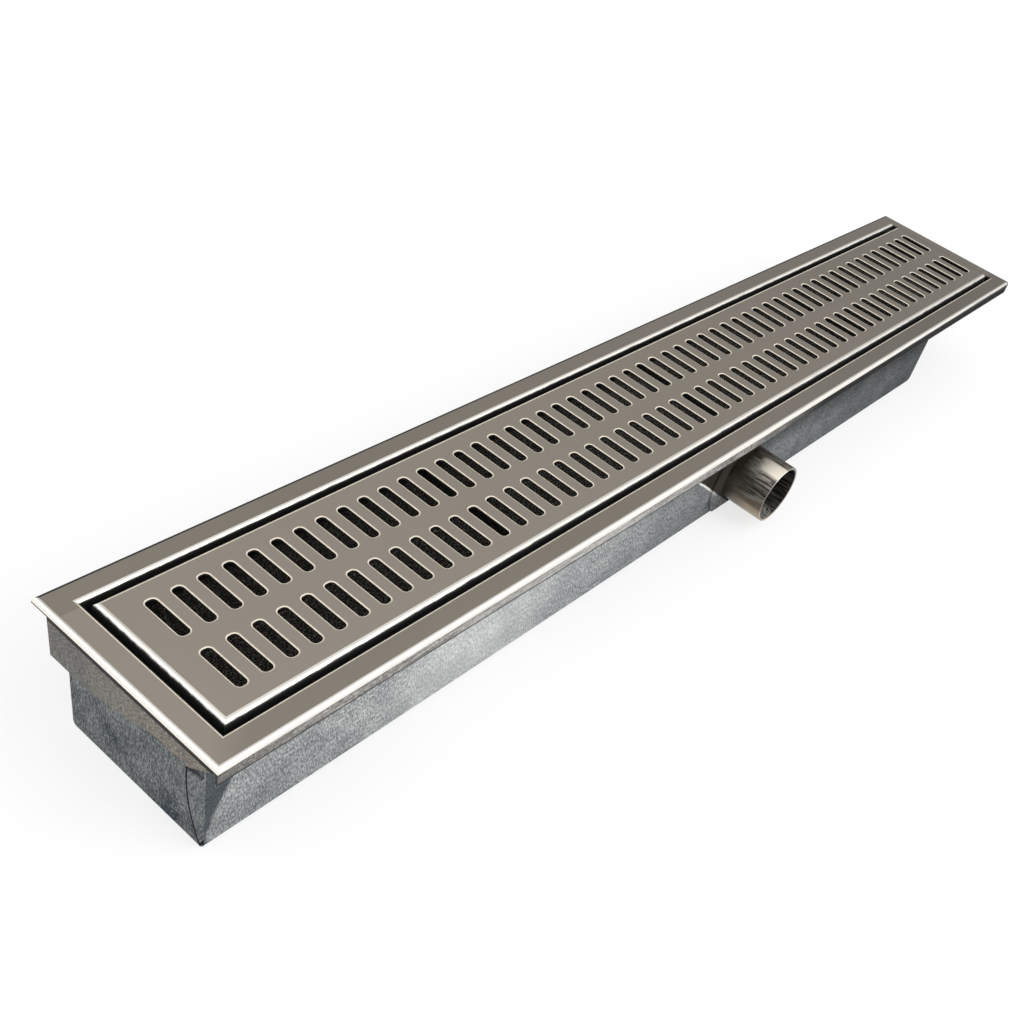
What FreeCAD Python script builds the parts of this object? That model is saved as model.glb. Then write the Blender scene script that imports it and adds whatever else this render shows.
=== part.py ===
"""Linear floor drain: a slotted steel cover in a rolled-edge frame, over a galvanised trough with an outlet.

Millimetres. X runs along the drain, from the skirted near end (-X) to the far end (+X), where it overhangs.
The outlet pipe points to -Y and the cover faces +Z. The origin is the middle of the trough's bottom face.
"""
import FreeCAD, Part
import math
import os
import Sketcher

doc = FreeCAD.newDocument("drain")
sheet = doc.addObject("Spreadsheet::Sheet", "sizes")
filled_rows = []


class Size:
    """A length that knows its value and the sheet formula that gives it."""

    def __init__(self, value, formula):
        self.value = float(value)
        self.formula = formula

    def combined(self, sign, other, result):
        right = other.formula if isinstance(other, Size) else repr(other)
        return Size(result, "(" + self.formula + " " + sign + " " + right + ")")

    def __add__(self, other):
        return self.combined("+", other, self.value + number(other))

    def __sub__(self, other):
        return self.combined("-", other, self.value - number(other))

    def __mul__(self, other):
        return self.combined("*", other, self.value * number(other))

    def __truediv__(self, other):
        return self.combined("/", other, self.value / number(other))

    def __neg__(self):
        return Size(-self.value, "(0 - " + self.formula + ")")


def number(length):
    return length.value if isinstance(length, Size) else float(length)


def size(alias, value, meaning):
    """Write one driving dimension into the sheet and return it."""
    filled_rows.append(alias)
    row = str(len(filled_rows))
    sheet.set("A" + row, meaning)
    sheet.set("B" + row, str(value))
    sheet.setAlias("B" + row, alias)
    return Size(value, "sizes." + alias)


# Driving dimensions: the frame
frame_length = size("frame_length", 850, "frame, over all along the drain")
frame_width = size("frame_width", 130, "frame, over all across the drain")
frame_sheet = size("frame_sheet", 1.5, "frame, sheet thickness")
rim_width = size("rim_width", 15, "frame, outer edge to opening")
rim_roll = size("rim_roll", 2.5, "frame, outside radius of both rolled edges")
lip_depth = size("lip_depth", 9.5, "frame, top face to bottom of the outer lip on its long sides")
short_lip_depth = size("short_lip_depth", 3.5, "frame, top face to bottom of its lip at the near end and back")
seat_depth = size("seat_depth", 12, "frame, top face to the seat that carries the cover")
seat_width = size("seat_width", 9, "frame, seat ledge inward of the opening")
far_strip = size("far_strip", 10, "frame, width of the flat strip across its far end")

# Driving dimensions: the cover
cover_sheet = size("cover_sheet", 1.5, "cover, sheet thickness")
cover_roll = size("cover_roll", 3.5, "cover, outside radius of the rolled edges")
cover_gap = size("cover_gap", 3, "cover, gap to the frame on three sides")
far_gap = size("far_gap", 0.3, "cover, gap to the frame's strip at the far end")
slot_width = size("slot_width", 6.5, "cover, slot width along the drain")
slot_length = size("slot_length", 28, "cover, slot length across the drain")
slot_corner = size("slot_corner", 2.6, "cover, corner radius that the flats of a slot's corner follow")
slot_bridge = size("slot_bridge", 11.6, "cover, solid strip between the two rows of slots")
slot_margin = size("slot_margin", 18.2, "cover, near end of the cover to the first slots")
far_margin = size("far_margin", 8.2, "cover, last slots to the far end of the cover")
slot_columns = 54
rib_thickness = size("rib_thickness", 3, "cover rib, thickness along the drain")
rib_depth = size("rib_depth", 8, "cover rib, depth below the sheet")
rib_columns = (13, 27, 40)

# Driving dimensions: the trough and its ends
trough_sheet = size("trough_sheet", 2, "trough, sheet thickness")
wall_step = size("wall_step", 0.5, "trough, edge of the frame's opening to the outer face of the side wall")
roll_clearance = size("roll_clearance", 1.7, "skirt, inside of the frame's outer rolls to the skirt")
trough_length = size("trough_length", 750, "trough, length of its deep part")
drain_height = size("drain_height", 78, "bottom of the trough to the top of the frame")
side_bend = size("side_bend", 3, "trough, outside radius of the bends along its floor")
end_bend = size("end_bend", 6, "trough, outside radius of the bend at its far end")
tray_depth = size("tray_depth", 25, "trough, top of the frame to the floor of the tray beyond its far end")

# Driving dimensions: the skirt on the near end
skirt_deep = size("skirt_deep", 37, "skirt, depth below the top of the frame on the back side")
skirt_middle = size("skirt_middle", 24, "skirt, depth below the top of the frame along its low step")
skirt_front = size("skirt_front", 10, "skirt, depth below the top of the frame on the outlet side")
skirt_level = size("skirt_level", 32, "skirt, width of its deep part")
skirt_slope = size("skirt_slope", 48, "skirt, width of the slope after its deep part")
skirt_corner = size("skirt_corner", 20, "skirt, width of the rising part on the outlet side")
lap_width = size("lap_width", 10.5, "trough, width of the side wall's lap over the end plate, at its top")
lap_foot = size("lap_foot", 4, "trough, bottom of the trough to the foot of the lap")
lap_bow = size("lap_bow", 90, "trough, radius of the lap's cut edge")
lap_gap = size("lap_gap", 1, "trough, top of the lap to the skirt's edge above it")

# Driving dimensions: the outlet
pipe_diameter = size("pipe_diameter", 42.4, "outlet pipe, outside diameter")
pipe_wall = size("pipe_wall", 1.6, "outlet pipe, wall thickness")
pipe_reach = size("pipe_reach", 32.5, "outlet pipe, face of the trough to the pipe's mouth")
pipe_place = size("pipe_place", 455.5, "outlet pipe, near end of the trough to the pipe's axis")
pipe_height = size("pipe_height", 28.5, "outlet pipe, bottom of the trough to the pipe's axis")
collar_diameter = size("collar_diameter", 70, "outlet collar, outside diameter")
collar_sheet = size("collar_sheet", 1.5, "outlet collar, sheet thickness")
collar_foot = size("collar_foot", 3, "outlet collar, bottom of the trough to its flat foot")
collar_head = size("collar_head", 1, "outlet collar, least gap to the underside of the frame")
weld_gap = size("weld_gap", 0.2, "gap that a weld fills, round the near end plate")

# Places that several pieces share
near_face = -trough_length / 2 - trough_sheet - roll_clearance - rim_roll
far_face = near_face + frame_length
side_face = frame_width / 2
trough_side = side_face - rim_width - wall_step
trough_near = -trough_length / 2
trough_far = trough_length / 2
flange_under = drain_height - frame_sheet
seat_top = drain_height - seat_depth
seat_under = seat_top - frame_sheet
cover_far = far_face - far_strip - far_gap
tray_far = far_face - frame_sheet - roll_clearance
tray_floor = drain_height - tray_depth
tray_under = tray_floor - trough_sheet
pipe_x = trough_near + pipe_place
pipe_bore = pipe_diameter - pipe_wall * 2


def new_body(name):
    body = doc.addObject("PartDesign::Body", name)
    body.Label = name
    return body


def origin_plane(body, role):
    return [item for item in body.Origin.OriginFeatures if item.Role == role][0]


def new_sketch(body, name, role, lift=None):
    """A sketch on one of the body's own origin planes, moved along the plane's normal by lift."""
    sketch = body.newObject("Sketcher::SketchObject", name)
    sketch.AttachmentSupport = (origin_plane(body, role), "")
    sketch.MapMode = "FlatFace"
    if lift is not None:
        sketch.setExpression("AttachmentOffset.Base.z", lift.formula)
    return sketch


def bind(sketch, constraint, length):
    """Add a dimension to the sketch and tie it to the sheet."""
    index = sketch.addConstraint(constraint)
    sketch.setExpression("Constraints[" + str(index) + "]", length.formula)


def vector(x, y):
    return FreeCAD.Vector(number(x), number(y), 0)


def draw_rounded(sketch, corners):
    """Closed outline of level and upright lines. A corner is (x, y) or (x, y, radius)."""
    count = len(corners)
    places = [vector(corner[0], corner[1]) for corner in corners]
    radii = [number(corner[2]) if len(corner) > 2 else 0.0 for corner in corners]
    lines = []
    for i in range(count):
        after = (i + 1) % count
        along = (places[after] - places[i]).normalize()
        line = Part.LineSegment(places[i] + along * radii[i], places[after] - along * radii[after])
        lines.append(sketch.addGeometry(line, False))
        level = abs(along.x) > abs(along.y)
        sketch.addConstraint(Sketcher.Constraint("Horizontal" if level else "Vertical", lines[i]))
    for i in range(count):
        before = lines[i - 1]
        level = abs(places[(i + 1) % count].x - places[i].x) > abs(places[(i + 1) % count].y - places[i].y)
        kind, length = ("DistanceY", corners[i][1]) if level else ("DistanceX", corners[i][0])
        bind(sketch, Sketcher.Constraint(kind, -1, 1, lines[i], 1, number(length)), length)
        if not radii[i]:
            sketch.addConstraint(Sketcher.Constraint("Coincident", before, 2, lines[i], 1))
            continue
        inward = (places[i - 1] - places[i]).normalize()
        onward = (places[(i + 1) % count] - places[i]).normalize()
        centre = places[i] + (inward + onward) * radii[i]
        middle = centre - (inward + onward).normalize() * radii[i]
        arc = Part.Arc(places[i] + inward * radii[i], middle, places[i] + onward * radii[i])
        arc_index = sketch.addGeometry(arc, False)
        turns_left = (-inward).cross(onward).z > 0
        first, last = (1, 2) if turns_left else (2, 1)
        sketch.addConstraint(Sketcher.Constraint("Tangent", before, 2, arc_index, first))
        sketch.addConstraint(Sketcher.Constraint("Tangent", arc_index, last, lines[i], 1))
        bind(sketch, Sketcher.Constraint("Radius", arc_index, radii[i]), corners[i][2])


def draw_box(sketch, x_low, x_high, y_low, y_high):
    draw_rounded(sketch, [(x_low, y_low), (x_high, y_low), (x_high, y_high), (x_low, y_high)])


def draw_points(sketch, points, closed):
    """Straight lines from point to point, each point tied to the sheet."""
    count = len(points)
    lines = []
    for i in range(count if closed else count - 1):
        line = Part.LineSegment(vector(*points[i]), vector(*points[(i + 1) % count]))
        lines.append(sketch.addGeometry(line, False))
        bind(sketch, Sketcher.Constraint("DistanceX", -1, 1, lines[i], 1, number(points[i][0])), points[i][0])
        bind(sketch, Sketcher.Constraint("DistanceY", -1, 1, lines[i], 1, number(points[i][1])), points[i][1])
        if i:
            sketch.addConstraint(Sketcher.Constraint("Coincident", lines[i - 1], 2, lines[i], 1))
    if closed:
        sketch.addConstraint(Sketcher.Constraint("Coincident", lines[-1], 2, lines[0], 1))
        return
    end_x, end_y = points[-1]
    bind(sketch, Sketcher.Constraint("DistanceX", -1, 1, lines[-1], 2, number(end_x)), end_x)
    bind(sketch, Sketcher.Constraint("DistanceY", -1, 1, lines[-1], 2, number(end_y)), end_y)


def draw_slot(sketch, x_low, x_high, y_low, y_high, radius):
    """A box whose corners are each eased by two short flats that meet on the corner's radius."""
    bite = radius * (1 - math.sqrt(0.5))
    draw_points(sketch, [
        (x_low + radius, y_low),
        (x_high - radius, y_low),
        (x_high - bite, y_low + bite),
        (x_high, y_low + radius),
        (x_high, y_high - radius),
        (x_high - bite, y_high - bite),
        (x_high - radius, y_high),
        (x_low + radius, y_high),
        (x_low + bite, y_high - bite),
        (x_low, y_high - radius),
        (x_low, y_low + radius),
        (x_low + bite, y_low + bite),
    ], True)


def draw_circle(sketch, x, y, diameter):
    circle = Part.Circle(vector(x, y), FreeCAD.Vector(0, 0, 1), number(diameter) / 2)
    index = sketch.addGeometry(circle, False)
    bind(sketch, Sketcher.Constraint("DistanceX", -1, 1, index, 3, number(x)), x)
    bind(sketch, Sketcher.Constraint("DistanceY", -1, 1, index, 3, number(y)), y)
    bind(sketch, Sketcher.Constraint("Diameter", index, number(diameter)), diameter)


def pad(body, name, sketch, length):
    feature = body.newObject("PartDesign::Pad", name)
    feature.Profile = sketch
    feature.setExpression("Length", length.formula)
    doc.recompute()
    return feature


def pocket(body, name, sketch, depth=None, reversed_cut=False, both_sides=False):
    """Cut the sketch out, to a depth or through everything. The volume must go down."""
    before = body.Shape.Volume
    feature = body.newObject("PartDesign::Pocket", name)
    feature.Profile = sketch
    feature.Reversed = reversed_cut
    if depth is None:
        feature.Type = "ThroughAll"
        feature.Midplane = both_sides
    else:
        feature.setExpression("Length", depth.formula)
    doc.recompute()
    if body.Shape.Volume >= before - 1e-6:
        raise RuntimeError(name + " cuts nothing")
    return feature


def fillet(body, name, radius, wanted):
    """Round the edges of the body's newest shape for which wanted(edge) is true."""
    base = body.Tip
    names = ["Edge" + str(i + 1) for i, edge in enumerate(base.Shape.Edges) if wanted(edge)]
    feature = body.newObject("PartDesign::Fillet", name)
    feature.Base = (base, names)
    feature.setExpression("Radius", radius.formula)
    doc.recompute()
    return feature


def near(value, length):
    return abs(value - number(length)) < 0.01


def lies_at(edge, x=None, y=None, z=None):
    """True where the whole edge lies at the places given; y counts on both sides of the middle."""
    box = edge.BoundBox
    at_x = x is None or (near(box.XMin, x) and near(box.XMax, x))
    at_y = y is None or (near(abs(box.YMin), y) and near(abs(box.YMax), y) and box.YLength < 0.01)
    at_z = z is None or (near(box.ZMin, z) and near(box.ZMax, z))
    return at_x and at_y and at_z


def make_frame():
    """One folded section, lip, roll, rim, roll, wall and seat, run round three sides with mitred corners.

    A flat strip, folded down at the end, closes the far side.
    """
    body = new_body("frame")
    inner_roll = rim_roll - frame_sheet
    outer = -side_face
    wall = outer + rim_width
    section = new_sketch(body, "frame_section", "YZ_Plane", far_face)
    draw_rounded(section, [
        (outer, drain_height - lip_depth),
        (outer + frame_sheet, drain_height - lip_depth),
        (outer + frame_sheet, flange_under, inner_roll),
        (wall - frame_sheet, flange_under, inner_roll),
        (wall - frame_sheet, seat_under),
        (wall + seat_width, seat_under),
        (wall + seat_width, seat_top),
        (wall, seat_top),
        (wall, drain_height, rim_roll),
        (outer, drain_height, rim_roll),
    ])
    path = new_sketch(body, "frame_path", "XY_Plane", drain_height)
    corners = [(far_face, outer), (near_face, outer), (near_face, side_face), (far_face, side_face)]
    draw_points(path, corners, False)
    doc.recompute()
    pipe = body.newObject("PartDesign::AdditivePipe", "frame_run")
    pipe.Profile = section
    pipe.Spine = path
    pipe.Transition = "Right corner"
    doc.recompute()

    # The lips of the near end and the back stop just under their rolls
    near_inner = near_face + frame_sheet
    back_inner = side_face - frame_sheet
    sketch = new_sketch(body, "short_lip_outline", "XY_Plane", drain_height - lip_depth)
    draw_points(sketch, [
        (near_face, -back_inner),
        (near_inner, -back_inner),
        (near_inner, back_inner),
        (far_face, back_inner),
        (far_face, side_face),
        (near_face, side_face),
    ], True)
    pocket(body, "short_lip_cut", sketch, lip_depth - short_lip_depth, reversed_cut=True)

    # The strip lies flush with the rims, and its fold has the outline of the rolled edges that it closes
    rim_flat = side_face - rim_roll
    sketch = new_sketch(body, "far_strip_outline", "XY_Plane", flange_under)
    draw_box(sketch, far_face - far_strip, far_face, -rim_flat, rim_flat)
    pad(body, "far_strip_flat", sketch, frame_sheet)
    sketch = new_sketch(body, "far_fold_outline", "YZ_Plane", far_face - frame_sheet)
    draw_rounded(sketch, [
        (-side_face, drain_height - lip_depth),
        (side_face, drain_height - lip_depth),
        (side_face, drain_height, rim_roll),
        (-side_face, drain_height, rim_roll),
    ])
    pad(body, "far_fold", sketch, frame_sheet)
    return body


def make_cover():
    """A sheet folded down to the seat all round, with rolled edges on three sides, and two rows of slots."""
    body = new_body("cover")
    near_edge = near_face + rim_width + cover_gap
    half_width = side_face - rim_width - cover_gap
    inner_half = half_width - cover_sheet
    sketch = new_sketch(body, "cover_outline", "XY_Plane", seat_top)
    draw_box(sketch, near_edge, cover_far, -half_width, half_width)
    pad(body, "cover_block", sketch, seat_depth)
    rolled = drain_height
    fillet(body, "cover_rolls", cover_roll, lambda e: lies_at(e, z=rolled) and not lies_at(e, x=cover_far))
    sketch = new_sketch(body, "cover_hollow_outline", "XY_Plane", seat_top)
    draw_box(sketch, near_edge + cover_sheet, cover_far - cover_sheet, -inner_half, inner_half)
    pocket(body, "cover_hollow", sketch, seat_depth - cover_sheet, reversed_cut=True)
    inside_top = drain_height - cover_sheet
    inside_far = cover_far - cover_sheet
    inner_roll = cover_roll - cover_sheet
    fillet(body, "cover_inner_rolls", inner_roll, lambda e: lies_at(e, z=inside_top) and not lies_at(e, x=inside_far))

    # The two slots of the first column, then the columns
    first = near_edge + slot_margin
    sketch = new_sketch(body, "slot_outlines", "XY_Plane", drain_height)
    slot_start = slot_bridge / 2
    for low, high in ((slot_start, slot_start + slot_length), (-slot_start - slot_length, -slot_start)):
        draw_slot(sketch, first, first + slot_width, low, high, slot_corner)
    slots = pocket(body, "slots", sketch, cover_sheet)
    columns = body.newObject("PartDesign::LinearPattern", "slot_columns")
    columns.Originals = [slots]
    columns.Direction = (origin_plane(body, "X_Axis"), [""])
    run = cover_far - near_edge - slot_margin - slot_width - far_margin
    columns.setExpression("Length", run.formula)
    columns.Occurrences = slot_columns
    body.Tip = columns
    doc.recompute()
    return body, first, run / (slot_columns - 1)


def make_ribs(first_slot, pitch):
    """Flat bars welded under the cover, each below the solid strip between two columns of slots."""
    bars = []
    half_length = side_face - rim_width - cover_gap - cover_roll
    for column in rib_columns:
        bar = doc.addObject("Part::Box", "rib_" + str(column))
        strip_middle = first_slot + slot_width / 2 + pitch * (column - 0.5)
        bar.setExpression("Length", rib_thickness.formula)
        bar.setExpression("Width", (half_length * 2).formula)
        bar.setExpression("Height", rib_depth.formula)
        bar.setExpression("Placement.Base.x", (strip_middle - rib_thickness / 2).formula)
        bar.setExpression("Placement.Base.y", (-half_length).formula)
        bar.setExpression("Placement.Base.z", (drain_height - cover_sheet - rib_depth).formula)
        bars.append(bar)
    group = doc.addObject("Part::Compound", "cover_ribs")
    group.Links = bars
    doc.recompute()
    return group


def make_trough():
    """A pan folded from one sheet, open at the near end, where its side wall laps round the end plate.

    Beyond its deep part the sheet goes on as a shallow tray under the last slots.
    """
    body = new_body("trough")
    inner_side = trough_side - trough_sheet
    sketch = new_sketch(body, "trough_outline", "XY_Plane")
    draw_box(sketch, trough_near, trough_far, -trough_side, trough_side)
    pad(body, "trough_block", sketch, flange_under)
    fillet(body, "far_bend", end_bend, lambda edge: lies_at(edge, x=trough_far, z=0))
    fillet(body, "side_bends", side_bend, lambda edge: lies_at(edge, y=trough_side, z=0))
    sketch = new_sketch(body, "tray_outline", "XY_Plane", tray_under)
    draw_box(sketch, trough_far - trough_sheet, tray_far, -trough_side, trough_side)
    pad(body, "tray_block", sketch, flange_under - tray_under)
    fillet(body, "tray_end_bend", trough_sheet, lambda edge: lies_at(edge, x=tray_far, z=tray_under))
    fillet(body, "tray_side_bends", trough_sheet, lambda edge: lies_at(edge, y=trough_side, z=tray_under))
    sketch = new_sketch(body, "trough_hollow_outline", "XZ_Plane")
    draw_rounded(sketch, [
        (trough_near, trough_sheet),
        (trough_far - trough_sheet, trough_sheet, end_bend - trough_sheet),
        (trough_far - trough_sheet, tray_floor),
        (tray_far - trough_sheet, tray_floor),
        (tray_far - trough_sheet, flange_under),
        (trough_near, flange_under),
    ])
    hollow = pocket(body, "trough_hollow", sketch, None, both_sides=True)
    hollow.Type = "Length"
    hollow.Midplane = True
    hollow.setExpression("Length", (inner_side * 2).formula)
    doc.recompute()
    inner_bend = side_bend - trough_sheet
    fillet(body, "inner_side_bends", inner_bend, lambda edge: lies_at(edge, y=inner_side, z=trough_sheet))

    # The walls stop under the seat, apart from two ears that close the corners by the end plate
    ear = near_face + rim_width - rim_roll
    sketch = new_sketch(body, "wall_top_outline", "XZ_Plane")
    draw_box(sketch, ear, tray_far, seat_under, flange_under)
    pocket(body, "wall_top", sketch, None, both_sides=True)

    sketch = new_sketch(body, "outlet_hole_outline", "XZ_Plane")
    draw_circle(sketch, pipe_x, pipe_height, pipe_bore)
    pocket(body, "outlet_hole", sketch, reversed_cut=True)

    # The outlet side's wall goes on round the corner, and its edge is cut to a shallow curve
    lap_top = drain_height - skirt_middle - lap_gap
    sketch = new_sketch(body, "lap_outline", "YZ_Plane", trough_near - trough_sheet)
    draw_lap(sketch, -trough_side, lap_foot, -trough_side + lap_width, lap_top, lap_bow)
    pad(body, "lap", sketch, trough_sheet)
    return body


def draw_lap(sketch, corner, foot, edge, top, bow):
    """A tab with an upright side at the corner, a level top, and a curved edge from its foot to its top."""
    run = vector(edge, top) - vector(corner, foot)
    sideways = FreeCAD.Vector(run.y, -run.x, 0).normalize()
    sag = number(bow) - math.sqrt(number(bow) ** 2 - (run.Length / 2) ** 2)
    middle = vector(corner, foot) + run / 2 + sideways * sag
    arc = sketch.addGeometry(Part.Arc(vector(corner, foot), middle, vector(edge, top)), False)
    level = sketch.addGeometry(Part.LineSegment(vector(edge, top), vector(corner, top)), False)
    upright = sketch.addGeometry(Part.LineSegment(vector(corner, top), vector(corner, foot)), False)
    sketch.addConstraint(Sketcher.Constraint("Coincident", arc, 2, level, 1))
    sketch.addConstraint(Sketcher.Constraint("Coincident", level, 2, upright, 1))
    sketch.addConstraint(Sketcher.Constraint("Coincident", upright, 2, arc, 1))
    sketch.addConstraint(Sketcher.Constraint("Horizontal", level))
    sketch.addConstraint(Sketcher.Constraint("Vertical", upright))
    bind(sketch, Sketcher.Constraint("DistanceX", -1, 1, upright, 2, number(corner)), corner)
    bind(sketch, Sketcher.Constraint("DistanceY", -1, 1, upright, 2, number(foot)), foot)
    bind(sketch, Sketcher.Constraint("DistanceX", -1, 1, level, 1, number(edge)), edge)
    bind(sketch, Sketcher.Constraint("DistanceY", -1, 1, level, 1, number(top)), top)
    bind(sketch, Sketcher.Constraint("Radius", arc, number(bow)), bow)


def make_near_end_plate():
    """The plate welded inside the near end of the trough, up to the underside of the frame."""
    body = new_body("near_end_plate")
    sketch = new_sketch(body, "end_plate_outline", "YZ_Plane", trough_near)
    side = trough_side - trough_sheet - weld_gap
    foot = trough_sheet + weld_gap
    draw_rounded(sketch, [
        (-side, foot, side_bend - trough_sheet),
        (side, foot, side_bend - trough_sheet),
        (side, flange_under),
        (-side, flange_under),
    ])
    pad(body, "end_plate", sketch, trough_sheet)
    return body


def make_end_skirt():
    """The wide plate under the near end of the frame. Its lower edge is cut in steps down to the back."""
    body = new_body("end_skirt")
    edge = side_face - rim_roll - roll_clearance
    level_end = edge - skirt_level
    slope_end = level_end - skirt_slope
    sketch = new_sketch(body, "skirt_outline", "YZ_Plane", trough_near - trough_sheet)
    draw_points(sketch, [
        (-edge, flange_under),
        (-edge, drain_height - skirt_front),
        (-edge + skirt_corner, drain_height - skirt_middle),
        (slope_end, drain_height - skirt_middle),
        (level_end, drain_height - skirt_deep),
        (edge, drain_height - skirt_deep),
        (edge, flange_under),
    ], True)
    pad(body, "skirt", sketch, trough_sheet)
    return body


def make_outlet_pipe():
    """A plain tube that stands on the collar, its bore in line with the holes in the collar and the wall."""
    body = new_body("outlet_pipe")
    sketch = new_sketch(body, "pipe_section", "XZ_Plane", trough_side + collar_sheet)
    draw_circle(sketch, pipe_x, pipe_height, pipe_diameter)
    draw_circle(sketch, pipe_x, pipe_height, pipe_bore)
    pad(body, "pipe_wall_run", sketch, pipe_reach - collar_sheet)
    return body


def make_outlet_collar():
    """The round plate on the outside of the wall that carries the pipe.

    It is cut flat above the trough's bend, and would be cut flat below the frame if it reached that high.
    """
    disc = doc.addObject("Part::Cylinder", "collar_disc")
    bore = doc.addObject("Part::Cylinder", "collar_bore")
    band = doc.addObject("Part::Box", "collar_band")
    disc.setExpression("Radius", (collar_diameter / 2).formula)
    bore.setExpression("Radius", (pipe_bore / 2).formula)
    for cylinder in (disc, bore):
        cylinder.setExpression("Height", collar_sheet.formula)
        cylinder.Placement.Rotation = FreeCAD.Rotation(FreeCAD.Vector(1, 0, 0), 90)
        cylinder.setExpression("Placement.Base.x", pipe_x.formula)
        cylinder.setExpression("Placement.Base.y", (-trough_side).formula)
        cylinder.setExpression("Placement.Base.z", pipe_height.formula)
    band.setExpression("Length", collar_diameter.formula)
    band.setExpression("Width", collar_sheet.formula)
    band.setExpression("Height", (seat_under - collar_head - collar_foot).formula)
    band.setExpression("Placement.Base.x", (pipe_x - collar_diameter / 2).formula)
    band.setExpression("Placement.Base.y", (-trough_side - collar_sheet).formula)
    band.setExpression("Placement.Base.z", collar_foot.formula)
    ring = doc.addObject("Part::Cut", "collar_ring")
    ring.Base = disc
    ring.Tool = bore
    collar = doc.addObject("Part::Common", "outlet_collar")
    collar.Base = ring
    collar.Tool = band
    doc.recompute()
    return collar


def check_and_write(pieces):
    """Stop on any failed object, then write each piece to its own file."""
    doc.recompute()
    for item in doc.Objects:
        if "Invalid" in item.State or "Error" in item.State:
            raise RuntimeError(item.Name + " failed: " + str(item.State))
    os.makedirs("parts", exist_ok=True)
    for piece in pieces:
        shape = piece.Shape
        if shape.isNull() or not shape.isValid() or not shape.Solids:
            raise RuntimeError(piece.Label + " has no valid solid")
        shape.exportStep("parts/" + piece.Label + ".step")
        box = shape.BoundBox
        print(piece.Label, len(shape.Solids), "solid(s)", round(shape.Volume), "mm3",
              [round(value, 2) for value in (box.XMin, box.XMax, box.YMin, box.YMax, box.ZMin, box.ZMax)])


frame = make_frame()
cover, first_slot, slot_pitch = make_cover()
ribs = make_ribs(first_slot, slot_pitch)
trough = make_trough()
near_end_plate = make_near_end_plate()
end_skirt = make_end_skirt()
outlet_pipe = make_outlet_pipe()
outlet_collar = make_outlet_collar()
check_and_write([frame, cover, ribs, trough, near_end_plate, end_skirt, outlet_pipe, outlet_collar])
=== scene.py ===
"""Looks of a linear floor drain: a slotted steel cover in a rolled-edge frame, over a galvanised trough.

Metres. X runs along the drain, -Y is the outlet side, +Z is up.
"""
import math

import bmesh
import bpy
from mathutils import Matrix, Vector


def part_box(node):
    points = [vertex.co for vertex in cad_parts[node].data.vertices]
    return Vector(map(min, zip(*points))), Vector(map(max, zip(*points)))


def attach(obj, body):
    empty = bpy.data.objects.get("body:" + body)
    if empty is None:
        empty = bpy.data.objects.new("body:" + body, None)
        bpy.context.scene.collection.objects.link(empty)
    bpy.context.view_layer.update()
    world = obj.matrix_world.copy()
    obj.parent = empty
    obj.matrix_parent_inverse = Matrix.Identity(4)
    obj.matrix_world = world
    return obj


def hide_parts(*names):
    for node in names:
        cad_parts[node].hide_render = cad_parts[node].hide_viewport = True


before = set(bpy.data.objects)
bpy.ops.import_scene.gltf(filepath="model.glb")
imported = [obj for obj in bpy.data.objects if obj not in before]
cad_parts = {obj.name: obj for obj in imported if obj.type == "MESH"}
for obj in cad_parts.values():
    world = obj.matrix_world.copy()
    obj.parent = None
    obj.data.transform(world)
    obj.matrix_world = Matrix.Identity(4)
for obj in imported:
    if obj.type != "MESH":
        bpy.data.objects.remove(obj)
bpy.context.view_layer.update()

MM = 0.001

# Where the CAD pieces lie
frame_low, frame_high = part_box("frame")
cover_low, cover_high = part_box("cover")
trough_low, trough_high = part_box("trough")
pipe_low, pipe_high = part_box("outlet_pipe")
top = frame_high.z
pipe_axis_point = ((pipe_low.x + pipe_high.x) / 2, 0, (pipe_low.z + pipe_high.z) / 2)
pipe_outer_radius = (pipe_high.x - pipe_low.x) / 2

# Sizes, as in the source of the part
SHEET = 1.5 * MM
RIM_WIDTH = 15.0 * MM
RIM_ROLL = 2.5 * MM
LIP_DEPTH = 9.5 * MM
SHORT_LIP = 3.5 * MM
FAR_STRIP = 10.0 * MM
SEAT_DEPTH = 12.0 * MM
SEAT_WIDTH = 9.0 * MM
COVER_ROLL = 3.5 * MM
SLOT_COLUMNS = 54
SLOT_WIDTH = 6.5 * MM
SLOT_LENGTH = 28.0 * MM
SLOT_CORNER = 2.6 * MM
SLOT_BRIDGE = 11.6 * MM
NEAR_MARGIN = 18.2 * MM
FAR_MARGIN = 8.2 * MM
PIPE_WALL = 1.6 * MM

# Finer form than the solids have: steps of a roll and of half a slot's corner, and the slots' deburred edge
ROLL_STEPS = 10
CORNER_STEPS = 5
SLOT_EDGE = 0.7 * MM
SLOT_BEVEL = 0.3 * MM
SHARP_DEGREES = 15

# The height of the painted shade line at the lip's foot, and the steps of a dull roll that show a painted
# highlight line
LIP_SHADE = 0.9 * MM
LINE_FROM = 1
LINE_TO = 3

# How far a cutting box reaches past the lip's sheet
CLEAR = 0.05 * MM

# How near two points count as one, and the digits that places are rounded to
SAME_POINT = 0.001 * MM
MERGE = 0.002 * MM
PLACE_DIGITS = 7

# The border of the dark patch before the outlet, where x + DARK_PATCH_SLOPE * z is DARK_PATCH_EDGE
DARK_PATCH_SLOPE = 1.355
DARK_PATCH_EDGE = 80.5 * MM

# The circle of the near corner's curved cut edge, and its painted shadow line
LAP_CENTRE = (0, -128.8 * MM, 46.6 * MM)
LAP_RADIUS = 90.0 * MM
LAP_TOP = 54.0 * MM
LAP_LINE_INSET = 0.2 * MM
LAP_LINE_HALF = 1.0 * MM

# Half way through the trough's sheet: from its faces, in its deep part's far wall and in its tray's floor
TROUGH_HALF_SHEET = 1.0 * MM
DEEP_END = 374.0 * MM
TRAY_FLOOR = 52.0 * MM

# The studio's strength at the horizon and overhead, and what its bright sides add
DOME_LOW = 0.25
DOME_HIGH = 0.8
SIDES = 0.75

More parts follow.
